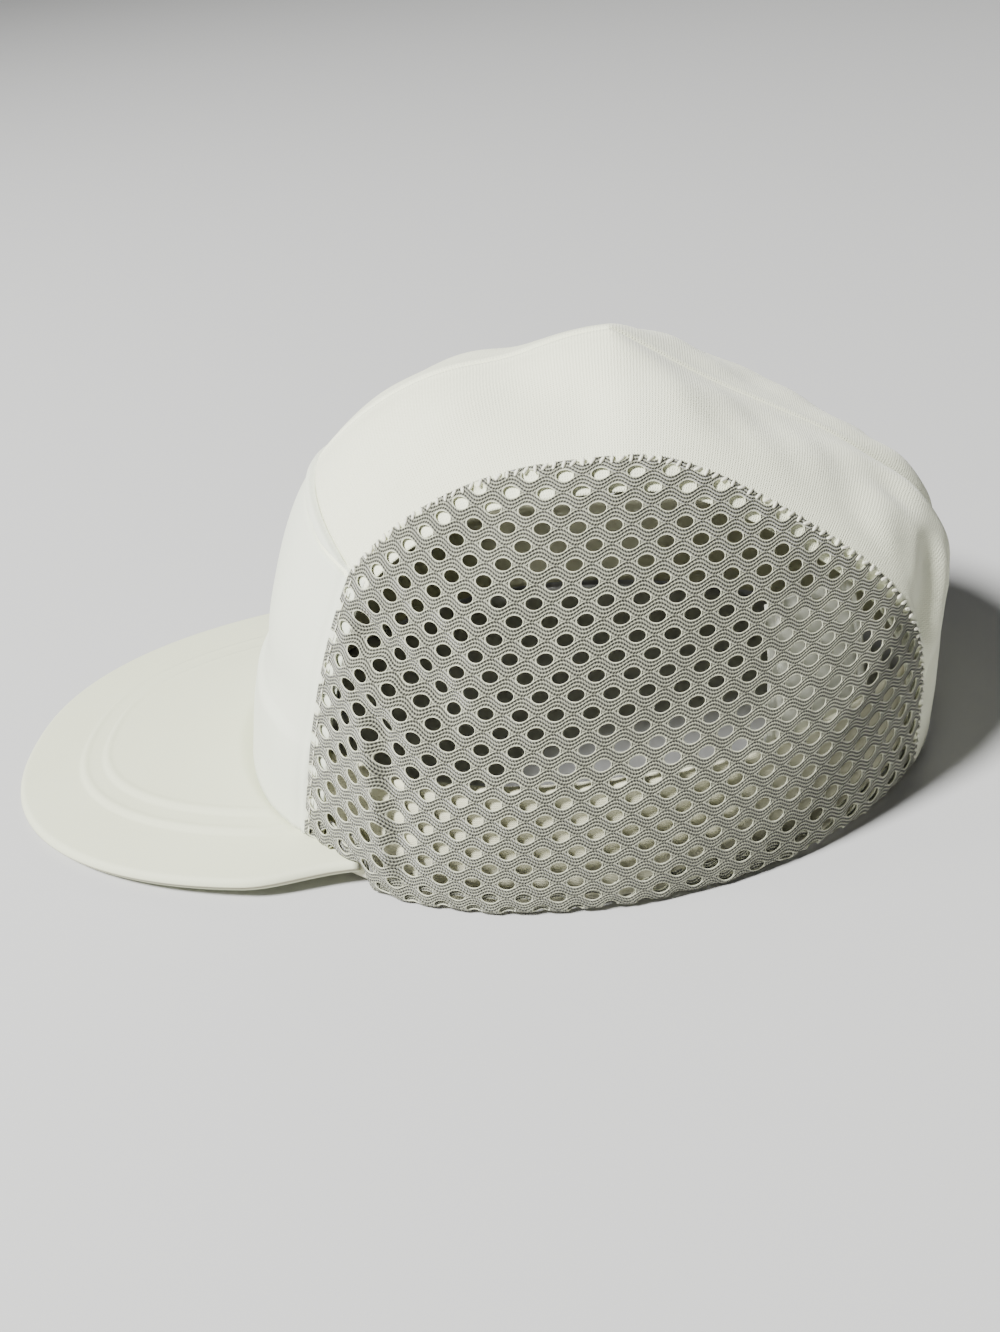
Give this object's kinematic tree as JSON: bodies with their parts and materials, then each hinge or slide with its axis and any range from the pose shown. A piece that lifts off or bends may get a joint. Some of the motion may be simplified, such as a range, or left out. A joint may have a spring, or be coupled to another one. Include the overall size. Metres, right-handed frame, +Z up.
{
  "type": "five-panel cap with net sides",
  "caption": "Soft camp cap with a flat stiffened visor, a smooth front panel, two ribbed top panels and D-shaped open-net side panels over an inner sweatband.",
  "frame": {"origin": "under the middle of the whole cap, on the plane that the side hems rest on", "axes": "+Z up to the peak, -Y towards the visor's tip, +X towards the wearer's left"},
  "size_m": [0.1742, 0.2686, 0.118],
  "materials": {
    "front_cloth": "smooth close weave, cool ivory",
    "crown_cloth": "fine crosswise ribs, warm ivory",
    "side_net": "coarse knitted net with oval holes",
    "seam_tape": "plain woven tape",
    "sweatband_cloth": "brushed plain weave",
    "interlining": "bonded non-woven",
    "elastic": "ribbed elastic webbing",
    "label_cloth": "smooth satin tape",
    "board": "matte moulded sheet",
    "visor_cloth": "smooth close weave, slight sheen"
  },
  "bodies": {
    "root": {"front_panel": "front_cloth", "top_panel_left": "crown_cloth", "top_panel_right": "crown_cloth", "side_net_panel_left": "side_net", "side_net_panel_right": "side_net", "front_seam_tape": "seam_tape", "centre_seam_tape": "seam_tape", "side_seam_tape_left": "seam_tape", "side_seam_tape_right": "seam_tape", "sweatband": "sweatband_cloth", "sweatband_core": "interlining", "back_elastic": "elastic", "care_label": "label_cloth", "visor_board": "board", "visor_top_cover": "visor_cloth", "visor_under_cover": "visor_cloth"}
  },
  "joints": []
}
